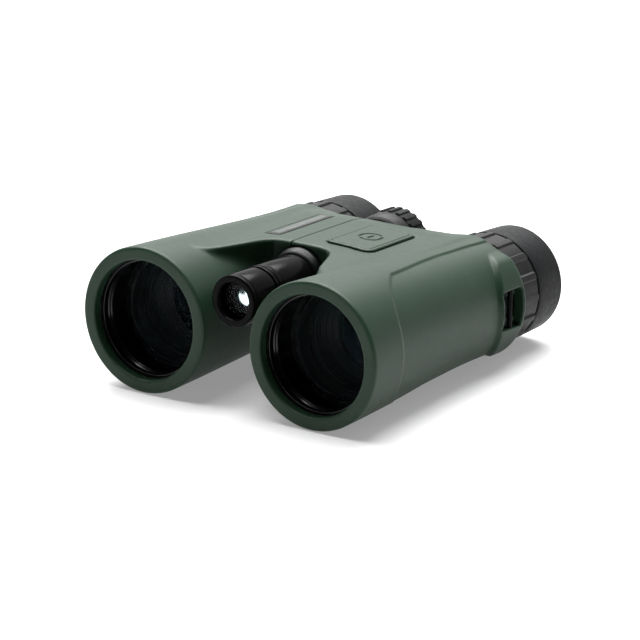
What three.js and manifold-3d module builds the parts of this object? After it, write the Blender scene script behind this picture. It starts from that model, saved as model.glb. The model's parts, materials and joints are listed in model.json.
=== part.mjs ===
// Binocular laser rangefinder, in millimetres, +Z up, +Y from the objectives to the eyepieces.
// The two halves fold about a hinge that lies above and between the optical axes. Its hollow axle holds the
// battery, the laser emitter tube lies in front of it and the focus wheel behind it. Left and right are the
// user's, so the left half is on +X. The origin is under the middle of the object, level with the rims.
import * as THREE from "three";
import { mergeVertices } from "three/addons/utils/BufferGeometryUtils.js";
import Module from "manifold-3d";

const wasm = await Module();
wasm.setup();

// ---- Driving dimensions -------------------------------------------------------------------------------
const AXIS_SPACING = 75; // between the optical axes, unfolded
const HINGE_RISE = 12.9; // hinge axis above the optical axes
const RIM_RADIUS = 27.5; // widest part of each barrel, at the objective rim
const OVERALL_LENGTH = 135.2; // rim plane to the eyecups' rear edge, eyecups in
const GAP = 0.3; // between pieces that touch
const SKIN = 1.7; // thickness of the rubber over the bridge
const FOCUS_TRAVEL = 2.5; // each way, of the focusing cells and the spool
const BUTTON_PROUD = 0.7; // ranging button above the bridge

// Armour of a barrel: [radius, distance behind the rim plane].
const MOUTH_RADIUS = 22.46;
const ARMOUR_END = 104.4;
const ARMOUR_OUTSIDE = [
  [26.8, 0],
  [27.5, 0.8],
  [27.0, 12],
  [25.7, 36],
  [24.2, 63],
  [23.0, 92],
  [22.9, ARMOUR_END],
];
const ARMOUR_SEGMENTS = 36;
const PANEL = { depth: 0.65, front: 23, back: 89, low: -66, high: 71 }; // recessed side panel, degrees
const LUG = { radius: 24.1, front: 89, low: -52, high: 53 }; // raised strap lug on the outer side
const SLOT = { front: 90, back: 102.5, halfHeight: 7.3 }; // strap slot in the lug
const BAR = { radius: 1.0, outward: 21.2, y: 97, halfHeight: 8.3 }; // strap bar in the slot

// Chassis tube under the armour: [radius, distance behind the rim plane].
const CHASSIS_FRONT = 4.3;
const CHASSIS_END = 104.1;
const CHASSIS_OUTSIDE = [
  [24.7, CHASSIS_FRONT],
  [24.7, 33.3],
  [22.9, 40],
  [22.3, 60],
  [21.1, 88.8],
  [18.8, 89.1],
  [18.8, CHASSIS_END],
];
const CHASSIS_BORE = [
  [22.3, CHASSIS_FRONT - 1],
  [22.3, 19],
  [20.8, 19],
  [20.8, 58],
  [19.6, 60],
  [19.6, 87.9],
  [17.2, 87.9],
  [17.2, CHASSIS_END + 1],
];

// Bridge: the top surface falls from the middle to the barrels: [outward from the middle plane, height].
const BRIDGE_TOP = [
  [10, 25.7],
  [20, 25.1],
  [30, 24.4],
  [38, 23.4],
];
const BRIDGE_CREST = 25.9;
const NOTCH = [
  [11, 45.4],
  [15, 42.4],
  [17.2, 38],
  [19.6, 32],
  [21.8, 26],
  [24.8, 22],
]; // front edge of one half's bridge round the emitter tube: [outward, y]
const BRIDGE_REAR = [
  [28, 103],
  [22, 99],
  [16, 95],
  [10, 94],
];
const BRIDGE_MIDDLE = { front: 46, rear: 94 };
const HINGE_CLEARANCE = 11.6; // radius cleared round the knuckles
const KNUCKLE = { inner: 9.6, outer: 11.3 };
const FINGER_SWEEP = { low: -80, high: -8 }; // degrees that the left drive finger needs as the halves fold
const SKIRT = { radius: 12.7, front: 79.5, back: 89.5, low: -74, high: -49 }; // lip over that slot

const BUTTON = { inner: 5.5, outer: 25.5, front: 53, back: 84, corner: 4 }; // outward, outward, y, y
const PLATE = { inner: 14, outer: 20.3, front: 52, back: 87, proud: 0.25, sunk: 0.4 };
const BOARD = { inner: 10.1, outer: 26.1, front: 51.5, back: 85.5, low: 20.9, high: 21.7 };

const HALVES = {
  right: {
    side: -1,
    seam: 4.7, // outward edge of this half's bridge at the seam
    knuckles: [
      [47.3, 53.4],
      [60.1, 66.2],
      [72.9, 92.3],
    ],
    finger: [80.2, 81.8],
  },
  left: {
    side: 1,
    seam: -4.4,
    knuckles: [
      [53.7, 59.8],
      [66.5, 72.6],
    ],
    finger: [83.6, 85.2],
  },
};

// ---- Materials ----------------------------------------------------------------------------------------
const finish = (color, roughness, metalness) =>
  new THREE.MeshStandardMaterial({ color, roughness, metalness });
const ARMOUR_RUBBER = finish(0x5f7563, 0.85, 0);
const CUP_RUBBER = finish(0x3a3c3e, 0.8, 0);
const BLACK_ANODISED = finish(0x17181a, 0.45, 0.6);
const BLACK_PLASTIC = finish(0x242628, 0.6, 0);
const GREY_PLASTIC = finish(0x2e3032, 0.6, 0);
const PAINTED_CASTING = finish(0x1b1d1c, 0.6, 0.2);
const STEEL = finish(0xb5b8bb, 0.3, 1);
const BRASS = finish(0xb08a45, 0.35, 1);
const GLASS = finish(0x9db7c9, 0.05, 0);
const BOARD_GREEN = finish(0x1f5a38, 0.6, 0);
const BATTERY_WRAP = finish(0x2d4f8f, 0.4, 0.1);
const SILVER_PLATE = finish(0xc2c4c2, 0.35, 0.8);

// ---- Shape helpers ------------------------------------------------------------------------------------
const degrees = THREE.MathUtils.degToRad;
const asVectors = (points) => points.map(([u, v]) => new THREE.Vector2(u, v));

// A closed solid of a three.js geometry, with its faces turned outwards.
function solid(shape) {
  if (!shape.isBufferGeometry) return shape;
  const loose = shape.index ? shape.toNonIndexed() : shape;
  const bare = new THREE.BufferGeometry();
  bare.setAttribute("position", loose.getAttribute("position"));
  const welded = mergeVertices(bare, 1e-4);
  const faces = [];
  for (let i = 0; i < welded.index.count; i += 3) {
    const [a, b, c] = welded.index.array.subarray(i, i + 3);
    if (a !== b && b !== c && c !== a) faces.push([a, b, c]);
  }
  const build = (triangles) =>
    new wasm.Manifold(
      new wasm.Mesh({
        numProp: 3,
        vertProperties: welded.attributes.position.array,
        triVerts: new Uint32Array(triangles.flat()),
      }),
    );
  const made = build(faces);
  return made.volume() > 0 ? made : build(faces.map(([a, b, c]) => [a, c, b]));
}

const join = (first, ...others) => others.reduce((sum, next) => sum.add(solid(next)), solid(first));
const cut = (first, ...others) => others.reduce((rest, next) => rest.subtract(solid(next)), solid(first));
const common = (first, ...others) =>
  others.reduce((part, next) => part.intersect(solid(next)), solid(first));

// Turned about +Y from a profile of [radius, y] that starts and ends on the axis, or closes on itself.
function turned(profile, segments = 24) {
  const onAxis = profile[0][0] === 0 && profile.at(-1)[0] === 0;
  const closed = onAxis ? profile : [...profile, profile[0]];
  return new THREE.LatheGeometry(asVectors(closed), segments);
}

const onAxis = (outside) => [[0, outside[0][1]], ...outside, [0, outside.at(-1)[1]]];
const disc = (radius, front, back, segments) =>
  turned(
    onAxis([
      [radius, front],
      [radius, back],
    ]),
    segments,
  );
const ring = (inner, outer, front, back, segments) =>
  turned(
    [
      [inner, front],
      [outer, front],
      [outer, back],
      [inner, back],
    ],
    segments,
  );

// A lens between two shallow curves. A positive bulge curves outwards.
function lens(radius, front, back, frontBulge, backBulge) {
  const steps = [0, 0.55, 1];
  const face = steps.map((t) => [radius * t, front + frontBulge * t * t]);
  const rear = steps.map((t) => [radius * t, back - backBulge * t * t]).reverse();
  return turned([...face, ...rear], 20);
}

const extruded = (outline, depth, holes = []) => {
  const shape = new THREE.Shape(asVectors(outline));
  shape.holes = holes.map((hole) => new THREE.Path(asVectors(hole)));
  return new THREE.ExtrudeGeometry(shape, { depth, bevelEnabled: false });
};
// Outlines of [x, z], [x, y] and [y, z] swept along the third axis.
const alongY = (outline, front, back, holes) =>
  extruded(outline, back - front, holes).rotateX(Math.PI / 2).translate(0, back, 0);
const alongZ = (outline, low, high) => extruded(outline, high - low).translate(0, 0, low);
const alongX = (outline, from, to) =>
  extruded(outline, to - from)
    .rotateX(Math.PI / 2)
    .rotateZ(Math.PI / 2)
    .translate(from, 0, 0);

const block = ([x0, x1], [y0, y1], [z0, z1]) =>
  new THREE.BoxGeometry(Math.abs(x1 - x0), y1 - y0, z1 - z0).translate(
    (x0 + x1) / 2,
    (y0 + y1) / 2,
    (z0 + z1) / 2,
  );

// Circle of [u, v] points, and the same with raised ribs round it.
const circle = (radius, count) =>
  Array.from({ length: count }, (_, i) => {
    const angle = (i / count) * 2 * Math.PI;
    return [radius * Math.cos(angle), radius * Math.sin(angle)];
  });
const ribbed = (base, tip, count, share) =>
  Array.from({ length: count }, (_, i) => {
    const pitch = (2 * Math.PI) / count;
    const half = (pitch * share) / 2;
    const at = (radius, angle) => [radius * Math.cos(angle), radius * Math.sin(angle)];
    const middle = i * pitch;
    return [
      at(base, middle - half * 1.4),
      at(tip, middle - half),
      at(tip, middle + half),
      at(base, middle + half * 1.4),
    ];
  }).flat();

// A pie-slice outline from low to high degrees, mirrored for the right half.
const slice = (side, low, high, reach = 32, steps = 8) => [
  [0, 0],
  ...Array.from({ length: steps + 1 }, (_, i) => {
    const angle = degrees(low + ((high - low) * i) / steps);
    return [side * reach * Math.cos(angle), reach * Math.sin(angle)];
  }),
];

// ---- Scene graph --------------------------------------------------------------------------------------
const rangefinder = new THREE.Group();
rangefinder.position.set(0, -OVERALL_LENGTH / 2, RIM_RADIUS);
const hinge = new THREE.Group();
hinge.position.z = HINGE_RISE;
rangefinder.add(hinge);

function place(group, name, shape, material) {
  const data = solid(shape).getMesh();
  const geometry = new THREE.BufferGeometry();
  geometry.setAttribute("position", new THREE.BufferAttribute(data.vertProperties, 3));
  geometry.setIndex(new THREE.BufferAttribute(data.triVerts, 1));
  geometry.computeVertexNormals();
  const mesh = new THREE.Mesh(geometry, material);
  mesh.name = name;
  group.add(mesh);
}

// ---- Bridge of one half -------------------------------------------------------------------------------
// Shapes of a half are made about its own optical axis: outward turns a distance from the middle plane
// into that frame.
const outward = (half, distance) => half.side * (distance - AXIS_SPACING / 2);
const outline = (half, points) => points.map(([distance, v]) => [outward(half, distance), v]);

// The bridge drawn in by inset on its outside faces: seen from above, from the front and from the side.
function bridge(half, inset) {
  const middle = AXIS_SPACING / 2;
  const start = half.seam + inset;
  const top = (points) => points.map(([distance, height]) => [distance, height - inset]);
  const plan = [
    [start, BRIDGE_MIDDLE.front + inset],
    ...NOTCH.map(([distance, y]) => [distance + inset, y + inset]),
    [middle, NOTCH.at(-1)[1] + inset],
    [middle, BRIDGE_REAR[0][1] - inset],
    ...BRIDGE_REAR.map(([distance, y]) => [distance, y - inset]),
    [start, BRIDGE_MIDDLE.rear - inset],
  ];
  const section = [
    [start, BRIDGE_CREST - inset],
    ...top(BRIDGE_TOP),
    [38, -2],
    [13, -3 + inset],
    [7.2, 3.9 + inset],
    [start, HINGE_RISE],
  ];
  const profile = [
    [20, -30],
    [20, 27 - inset],
    [88, 27 - inset],
    [94, 25.2 - inset],
    [104, 22.2 - inset],
    [104, -30],
  ];
  const reach = [outward(half, -12), outward(half, 42)].sort((a, b) => a - b);
  return common(
    alongZ(outline(half, plan), -30, 30),
    alongY(outline(half, section), 15, 110),
    alongX(profile, ...reach),
  );
}

const aboutHinge = (half, shape) => shape.translate(outward(half, 0), 0, HINGE_RISE);
const buttonWindow = (half, gap, low, high) => {
  const { inner, outer, front, back, corner } = BUTTON;
  const [x0, x1, y0, y1] = [inner - gap, outer + gap, front - gap, back + gap];
  const plan = [
    [x0 + corner, y0],
    [x1 - corner, y0],
    [x1, y0 + corner],
    [x1, y1 - corner],
    [x1 - corner, y1],
    [x0 + corner, y1],
    [x0, y1 - corner],
    [x0, y0 + corner],
  ];
  return alongZ(outline(half, plan), low, high);
};
const platePocket = (half, gap) => {
  const { inner, outer, front, back, proud, sunk } = PLATE;
  const fall = (BRIDGE_TOP[0][1] - BRIDGE_TOP[1][1]) / (BRIDGE_TOP[1][0] - BRIDGE_TOP[0][0]);
  const height = (distance) => BRIDGE_TOP[0][1] - fall * (distance - BRIDGE_TOP[0][0]);
  const section = [
    [inner - gap, height(inner) + proud + gap],
    [outer + gap, height(outer) + proud + gap],
    [outer + gap, height(outer) - sunk - gap],
    [inner - gap, height(inner) - sunk - gap],
  ];
  return alongY(outline(half, section), front - gap, back + gap);
};

function armour(half, name) {
  const { side } = half;
  const cavity = turned(
    onAxis([
      [MOUTH_RADIUS, -1],
      [MOUTH_RADIUS, CHASSIS_FRONT - GAP],
      ...CHASSIS_OUTSIDE.slice(0, -1).map(([radius, y], i) => [radius + GAP, i === 0 ? y - GAP : y + GAP]),
      [CHASSIS_OUTSIDE.at(-1)[0] + GAP, ARMOUR_END + 1],
    ]),
  );
  const underPanel = ARMOUR_OUTSIDE.filter(([, y]) => y > PANEL.front && y < PANEL.back);
  const panelFloor = underPanel.map(([radius, y]) => [radius - PANEL.depth, y]);
  const panel = common(
    turned([...panelFloor, [32, PANEL.back], [32, PANEL.front]], ARMOUR_SEGMENTS),
    alongY(slice(side, PANEL.low, PANEL.high), 0, 120),
  );
  const lug = common(
    ring(20, LUG.radius, LUG.front, ARMOUR_END),
    alongY(slice(side, LUG.low, LUG.high), 0, 120),
  );
  const strapSlot = block(
    [side * 10, side * 30],
    [SLOT.front, SLOT.back],
    [-SLOT.halfHeight, SLOT.halfHeight],
  );
  const barHole = barSolid(side, BAR.radius + GAP, BAR.halfHeight + GAP);
  const cover = cut(
    join(cut(turned(onAxis(ARMOUR_OUTSIDE), ARMOUR_SEGMENTS), panel), lug, bridge(half, 0)),
    cavity,
    bridge(half, SKIN),
    aboutHinge(half, disc(HINGE_CLEARANCE, 30, 110)),
    strapSlot,
    barHole,
  );
  if (name === "right") return cut(cover, platePocket(half, GAP));
  const skirt = common(
    ring(HINGE_CLEARANCE, SKIRT.radius, SKIRT.front, SKIRT.back),
    alongY(slice(1, SKIRT.low, SKIRT.high), SKIRT.front, SKIRT.back),
  ).translate([outward(half, 0), 0, HINGE_RISE]);
  return join(cut(cover, buttonWindow(half, GAP, 15, 30)), skirt);
}

const barSolid = (side, radius, halfHeight) =>
  new THREE.CylinderGeometry(radius, radius, 2 * halfHeight, 12)
    .rotateX(Math.PI / 2)
    .translate(side * BAR.outward, BAR.y, 0);

// A bar that points from the optical axis towards the hinge axis.
const towardsHinge = ({ side }, [near, far], [front, back], width) =>
  block([-side * near, -side * far], [front, back], [-width / 2, width / 2]).rotateY(
    side * Math.atan2(HINGE_RISE, AXIS_SPACING / 2),
  );

function chassis(half, name) {
  const arm = bridge(half, SKIN + GAP);
  const tube = cut(
    join(turned(onAxis(CHASSIS_OUTSIDE)), arm),
    turned(onAxis(CHASSIS_BORE)),
    aboutHinge(half, disc(HINGE_CLEARANCE, 30, 110)),
  );
  const knuckles = half.knuckles.map(([front, back]) =>
    join(
      aboutHinge(half, ring(KNUCKLE.inner, KNUCKLE.outer, front, back)),
      common(arm, aboutHinge(half, ring(KNUCKLE.inner, HINGE_CLEARANCE + 1, front, back))),
    ),
  );
  const play = FOCUS_TRAVEL + GAP;
  const slotOf = ({ finger }) => [finger[0] - play, finger[1] + play];
  const fingerSlot = towardsHinge(half, [15, 31.5], slotOf(half), 4.4);
  const body = cut(join(tube, ...knuckles), fingerSlot);
  if (name === "right") {
    const sweep = alongY(slice(1, FINGER_SWEEP.low, FINGER_SWEEP.high), ...slotOf(HALVES.left));
    return cut(body, aboutHinge(half, sweep));
  }
  const boardPocket = block(
    [outward(half, BOARD.inner - GAP), outward(half, BOARD.outer + GAP)],
    [BOARD.front - GAP, BOARD.back + GAP],
    [BOARD.low - GAP, 30],
  );
  return cut(body, boardPocket);
}

// ---- Optics and eyepiece of one half ------------------------------------------------------------------
const CELL = { front: 41, back: 47, inner: 15, outer: 20.4 };
const AXIS_TO_HINGE = Math.hypot(AXIS_SPACING / 2, HINGE_RISE);
const DRIVE_ROD = { near: 16.4, far: 18.6, width: 2.4, tip: AXIS_TO_HINGE - 4.6 };
const CAGE = { radius: 15.5, front: 56, back: 86, halfWindow: 10.1 };
const EYE_TUBE = { outer: 16.9, inner: 14.9, lip: 12.5, lipDepth: 1.5, front: 88.3, back: 123 };

function baffle() {
  const ribs = [0, 1, 2].flatMap((i) => [
    [14.8 + i * 1.6, 38 - i * 6],
    [17.2 + i * 1.1, 35.5 - i * 6],
  ]);
  return turned([[20.5, 19.4], [20.5, 38], ...ribs, [19.6, 19.4]], 20);
}

function focusCell(half) {
  return join(
    ring(CELL.inner, CELL.outer, CELL.front, CELL.back, 20),
    towardsHinge(half, [DRIVE_ROD.near, DRIVE_ROD.far], [CELL.back - 1, half.finger[1]], DRIVE_ROD.width),
    towardsHinge(half, [DRIVE_ROD.near, DRIVE_ROD.tip], half.finger, DRIVE_ROD.width),
  );
}

function prismCage() {
  const window = CAGE.halfWindow;
  return cut(
    disc(CAGE.radius, CAGE.front, CAGE.back, 20),
    block([-window, window], [CAGE.front - 1, CAGE.back + 1], [-window, window]),
  );
}

// The two prisms of a roof-prism pair face each other across a slanting air gap.
const PENTA_SIDE = [
  [58, -9.5],
  [70, -9.5],
  [62.1, 9.5],
  [58, 9.5],
];
const ROOF_SIDE = [
  [71, -9.5],
  [84.5, -9.5],
  [84.5, 3],
  [76, 9.5],
  [63.1, 9.5],
];

function eyepieceTube() {
  const { outer, inner, lip, lipDepth, front, back } = EYE_TUBE;
  return turned([
    [inner, front],
    [outer, front],
    [outer, back],
    [lip, back],
    [lip, back - lipDepth],
    [inner, back - lipDepth],
  ]);
}

const DIOPTRE = { inner: 18.7, base: 20.9, tip: 21.7, ribs: 16, ribShare: 0.3, front: 104.8, back: 117.4 };
function dioptreRing() {
  const { inner, base, tip, ribs, ribShare, front, back } = DIOPTRE;
  return alongY(ribbed(base, tip, ribs, ribShare), front, back, [circle(inner, 32)]);
}

const EYECUP = [
  [18.7, 117.9],
  [21.1, 117.9],
  [20.6, 134.3],
  [19.7, OVERALL_LENGTH],
  [18.4, OVERALL_LENGTH],
  [17.0, 129],
  [17.0, 128],
  [18.7, 128],
];

const barrels = {};
for (const [name, half] of Object.entries(HALVES)) {
  const barrel = new THREE.Group();
  barrel.position.x = (half.side * AXIS_SPACING) / 2;
  barrels[name] = barrel;
  rangefinder.add(barrel);
  const add = (part, shape, material) => place(barrel, `${name}_${part}`, shape, material);

  add("armor", armour(half, name), ARMOUR_RUBBER);
  add("chassis", chassis(half, name), PAINTED_CASTING);
  add("retaining_ring", ring(21, 22, 4.4, 9.5), BLACK_ANODISED);
  add("objective_crown", lens(22, 8, 13.2, 2.2, 1.6), GLASS);
  add("objective_flint", lens(22, 13.5, 16.3, -1.6, -1.4), GLASS);
  add("light_baffle", baffle(), BLACK_PLASTIC);
  add("focusing_cell", focusCell(half), BLACK_ANODISED);
  add("focusing_lens", lens(14.7, 43, 45, -1.2, -1.2), GLASS);
  add("prism_cage", prismCage(), BLACK_PLASTIC);
  add("penta_prism", alongX(PENTA_SIDE, -9.8, 9.8), GLASS);
  add("roof_prism", alongX(ROOF_SIDE, -9.8, 9.8), GLASS);
  add("eyepiece_tube", eyepieceTube(), BLACK_ANODISED);
  add("ocular_cell", ring(12.9, 14.6, 97, 119, 20), BLACK_ANODISED);
  add("field_lens", lens(12.6, 98, 103, 0.8, 1.6), GLASS);
  add("eye_lens", lens(12.6, 112.5, 118.5, 2, 1.4), GLASS);
  add("diopter_ring", dioptreRing(), GREY_PLASTIC);
  add("eyecup_guide", ring(17.2, 18.4, 106, 127.6), BLACK_PLASTIC);
  add("eyecup", turned(EYECUP), CUP_RUBBER);
  add("strap_bar", barSolid(half.side, BAR.radius, BAR.halfHeight), BLACK_ANODISED);
}

// ---- Left half: ranging button, its switch and board, display; right half: nameplate, light receiver ----
const BUTTON_CENTRE = [(BUTTON.inner + BUTTON.outer) / 2, (BUTTON.front + BUTTON.back) / 2];
const underButton = (shape) => shape.translate(outward(HALVES.left, BUTTON_CENTRE[0]), BUTTON_CENTRE[1], 0);

function rangeButton() {
  const { left } = HALVES;
  const section = [
    [BUTTON.inner, 25.2],
    [BUTTON.inner, 25.8 + BUTTON_PROUD],
    [12, 25.6 + BUTTON_PROUD],
    [BUTTON.outer, 24.7 + BUTTON_PROUD],
    [BUTTON.outer, 24.1],
  ];
  const pad = common(buttonWindow(left, 0, 20, 30), alongY(outline(left, section), 50, 90));
  return join(pad, underButton(alongZ(circle(2.2, 12), 24.3, 25.4)));
}
place(barrels.left, "range_button", rangeButton(), ARMOUR_RUBBER);

const switchCase = block([-3, 3], [-3, 3], [BOARD.high + GAP, 23]);
const switchPlunger = alongZ(circle(1.6, 12), 22.5, 23.4);
place(
  barrels.left,
  "button_switch",
  join(underButton(switchCase), underButton(switchPlunger)),
  BLACK_PLASTIC,
);
place(
  barrels.left,
  "circuit_board",
  block(
    [outward(HALVES.left, BOARD.inner), outward(HALVES.left, BOARD.outer)],
    [BOARD.front, BOARD.back],
    [BOARD.low, BOARD.high],
  ),
  BOARD_GREEN,
);
place(barrels.left, "display_module", block([-4.5, 4.5], [64, 74], [15.9, 18.4]), BLACK_PLASTIC);
place(barrels.right, "nameplate", platePocket(HALVES.right, 0), SILVER_PLATE);
place(
  barrels.right,
  "light_receiver",
  join(
    alongZ(circle(3.2, 16), 15.9, 17.4).translate(0, 72, 0),
    alongZ(circle(2.4, 16), 17.2, 18.9).translate(0, 72, 0),
  ),
  STEEL,
);

// ---- Hinge, battery and laser emitter, on the hinge axis -------------------------------------------------
const TUBE = { inner: 8.2, outer: 9.6 };
place(
  hinge,
  "emitter_bezel",
  turned([
    [6.8, 4.0],
    [9.1, 4.0],
    [9.6, 4.5],
    [9.6, 6.2],
    [6.8, 6.2],
  ]),
  GREY_PLASTIC,
);
place(hinge, "emitter_window", lens(7.9, 6.5, 8.6, 0.3, 0), GLASS);
place(hinge, "emitter_tube_front", ring(TUBE.inner, TUBE.outer, 6.5, 18.8), BLACK_ANODISED);
place(hinge, "emitter_lock_ring", ring(TUBE.inner, 9.9, 19.1, 23), BLACK_ANODISED);
place(hinge, "emitter_tube_rear", ring(TUBE.inner, TUBE.outer, 23.3, 41.5), BLACK_ANODISED);
place(
  hinge,
  "laser_module",
  turned(
    onAxis([
      [5.5, 10],
      [5.5, 25],
      [7.6, 25],
      [7.6, 37],
    ]),
    20,
  ),
  BRASS,
);
place(
  hinge,
  "hinge_collar",
  turned([
    [8.4, 41.8],
    [9.8, 41.8],
    [11.4, 44],
    [11.4, 45.7],
    [8.4, 45.7],
  ]),
  BLACK_ANODISED,
);
place(
  hinge,
  "hinge_axle",
  turned([
    [0, 74.9],
    [8.1, 74.9],
    [8.1, 46.1],
    [9.3, 46.1],
    [9.3, 75.9],
    [0, 75.9],
  ]),
  STEEL,
);
place(
  hinge,
  "battery",
  turned(
    onAxis([
      [7.0, 47.5],
      [7.7, 48],
      [7.7, 73.4],
      [3.2, 73.4],
      [3.2, 74.5],
    ]),
    24,
  ),
  BATTERY_WRAP,
);

// Cone-shaped contact spring between the laser module and the battery.
class ConicalCoil extends THREE.Curve {
  getPoint(t) {
    const angle = t * COIL.turns * 2 * Math.PI;
    const radius = COIL.wide + (COIL.narrow - COIL.wide) * t;
    return new THREE.Vector3(
      radius * Math.cos(angle),
      COIL.front + (COIL.back - COIL.front) * t,
      radius * Math.sin(angle),
    );
  }
}
const COIL = { turns: 3.5, wide: 6.6, narrow: 3.6, front: 38, back: 46.7, wire: 0.45 };
place(
  hinge,
  "battery_spring",
  new THREE.ExtrudeGeometry(new THREE.Shape(asVectors(circle(COIL.wire, 5))), {
    steps: 32,
    bevelEnabled: false,
    extrudePath: new ConicalCoil(),
  }),
  STEEL,
);

// ---- Focus drive, on the hinge axis ---------------------------------------------------------------------
place(
  hinge,
  "hinge_bearing",
  turned([
    [2.7, 90.0],
    [9.3, 90.0],
    [9.3, 92.6],
    [11.3, 92.6],
    [11.3, 96.2],
    [2.7, 96.2],
  ]),
  BLACK_ANODISED,
);
place(
  hinge,
  "focus_spindle",
  turned(
    onAxis([
      [2.4, 76.3],
      [2.4, 96.5],
      [11.6, 96.5],
      [12.5, 97.6],
      [13.1, 102.9],
      [11.7, 102.9],
      [11.7, 110.6],
    ]),
  ),
  GREY_PLASTIC,
);
const GRIP = { inner: 12, base: 13.1, tip: 13.7, ribs: 24, ribShare: 0.5, front: 103.2, back: 111.3 };
const gripOutline = ribbed(GRIP.base, GRIP.tip, GRIP.ribs, GRIP.ribShare);
const focusGrip = alongY(gripOutline, GRIP.front, GRIP.back, [circle(GRIP.inner, 24)]);
place(hinge, "focus_grip", focusGrip, CUP_RUBBER);

const SPOOL = { front: 78.8, core: 4.2, disc: 7.6, bore: 2.7, wall: 1, groove: 2.4 };
function focusSpool() {
  const pitch = SPOOL.wall + SPOOL.groove;
  const grooves = [0, 1].flatMap((i) => {
    const wallEnd = SPOOL.front + i * pitch + SPOOL.wall;
    return [
      [SPOOL.disc, wallEnd],
      [SPOOL.core, wallEnd],
      [SPOOL.core, wallEnd + SPOOL.groove],
      [SPOOL.disc, wallEnd + SPOOL.groove],
    ];
  });
  const back = SPOOL.front + 2 * pitch + SPOOL.wall;
  return turned(
    [
      [SPOOL.bore, SPOOL.front],
      [SPOOL.disc, SPOOL.front],
      ...grooves,
      [SPOOL.disc, back],
      [SPOOL.bore, back],
    ],
    16,
  );
}
place(hinge, "focus_spool", focusSpool(), BRASS);

export default rangefinder;
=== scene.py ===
import json
import math

import bpy
import numpy as np
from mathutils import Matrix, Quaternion, Vector


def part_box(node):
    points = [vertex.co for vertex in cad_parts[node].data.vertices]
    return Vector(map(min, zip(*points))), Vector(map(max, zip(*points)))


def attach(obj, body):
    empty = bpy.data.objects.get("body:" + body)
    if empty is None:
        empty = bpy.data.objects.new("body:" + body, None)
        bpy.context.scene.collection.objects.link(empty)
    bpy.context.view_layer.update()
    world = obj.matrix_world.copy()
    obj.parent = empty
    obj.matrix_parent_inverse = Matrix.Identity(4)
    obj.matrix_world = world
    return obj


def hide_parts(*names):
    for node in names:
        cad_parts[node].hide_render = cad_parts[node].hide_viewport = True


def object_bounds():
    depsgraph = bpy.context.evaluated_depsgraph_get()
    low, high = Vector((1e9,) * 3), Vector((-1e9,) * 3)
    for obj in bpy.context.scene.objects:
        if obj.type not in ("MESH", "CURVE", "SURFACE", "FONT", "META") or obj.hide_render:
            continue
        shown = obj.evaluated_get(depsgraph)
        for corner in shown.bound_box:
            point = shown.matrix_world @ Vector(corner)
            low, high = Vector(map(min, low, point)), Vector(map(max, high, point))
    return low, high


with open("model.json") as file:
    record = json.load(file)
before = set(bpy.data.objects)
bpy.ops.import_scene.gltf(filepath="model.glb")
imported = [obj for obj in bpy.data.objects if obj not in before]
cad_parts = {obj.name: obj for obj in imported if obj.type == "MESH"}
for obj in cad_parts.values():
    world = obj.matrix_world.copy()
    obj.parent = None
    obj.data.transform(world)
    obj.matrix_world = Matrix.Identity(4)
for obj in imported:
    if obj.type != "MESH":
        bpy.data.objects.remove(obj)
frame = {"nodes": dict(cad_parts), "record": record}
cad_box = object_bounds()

# Looks of the binocular laser rangefinder. Shapes are worked out in millimetres from the rim plane (y = 0)
# and the optical axes (z = 0), with x across from the hinge plane, then moved into the frame in metres.
MM = 0.001
SIDES = {"right": -1, "left": 1}


def centre(node):
    low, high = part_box(node)
    return (low + high) / 2


ORIGIN = Vector((0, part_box("left_armor")[0].y, centre("left_retaining_ring").z))
SPACING = (centre("left_retaining_ring").x - centre("right_retaining_ring").x) / MM
HINGE_RISE = (centre("hinge_axle").z - ORIGIN.z) / MM
ARMOUR_END = (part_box("left_armor")[1].y - ORIGIN.y) / MM

# ---- Mesh helpers --------------------------------------------------------------------------------


def add_piece(name, points, faces, body, material, slot, replaced=(), at=(0, 0, 0), sharp=40):
    """One mesh from points in working millimetres about the axis point at, riding on a body."""
    spots = (np.asarray(points, float) + np.asarray(at, float)) * MM + np.array(ORIGIN)
    mesh = bpy.data.meshes.new(name)
    mesh.from_pydata(spots.tolist(), [], [list(map(int, face)) for face in faces])
    mesh.validate()
    mesh.shade_smooth()
    mesh.set_sharp_from_angle(angle=math.radians(sharp))
    mesh.materials.append(material)
    piece = bpy.data.objects.new(name, mesh)
    bpy.context.scene.collection.objects.link(piece)
    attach(piece, body)
    if replaced:
        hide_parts(*replaced)
    return piece


def rounded(outline, radius, closed=True, steps=4):
    """The outline with its corners rounded by short curves, so that edges catch the light."""
    points = [np.array(p, float) for p in outline]
    made = []
    for i, corner in enumerate(points):
        if not closed and i in (0, len(points) - 1):
            made.append(corner)
            continue
        before, after = points[i - 1], points[(i + 1) % len(points)]
        reach = [min(radius, 0.45 * np.linalg.norm(p - corner)) for p in (before, after)]
        start = corner + (before - corner) / np.linalg.norm(before - corner) * reach[0]
        end = corner + (after - corner) / np.linalg.norm(after - corner) * reach[1]
        for k in range(steps + 1):
            t = k / steps
            made.append((1 - t) ** 2 * start + 2 * t * (1 - t) * corner + t * t * end)
    return made


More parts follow.
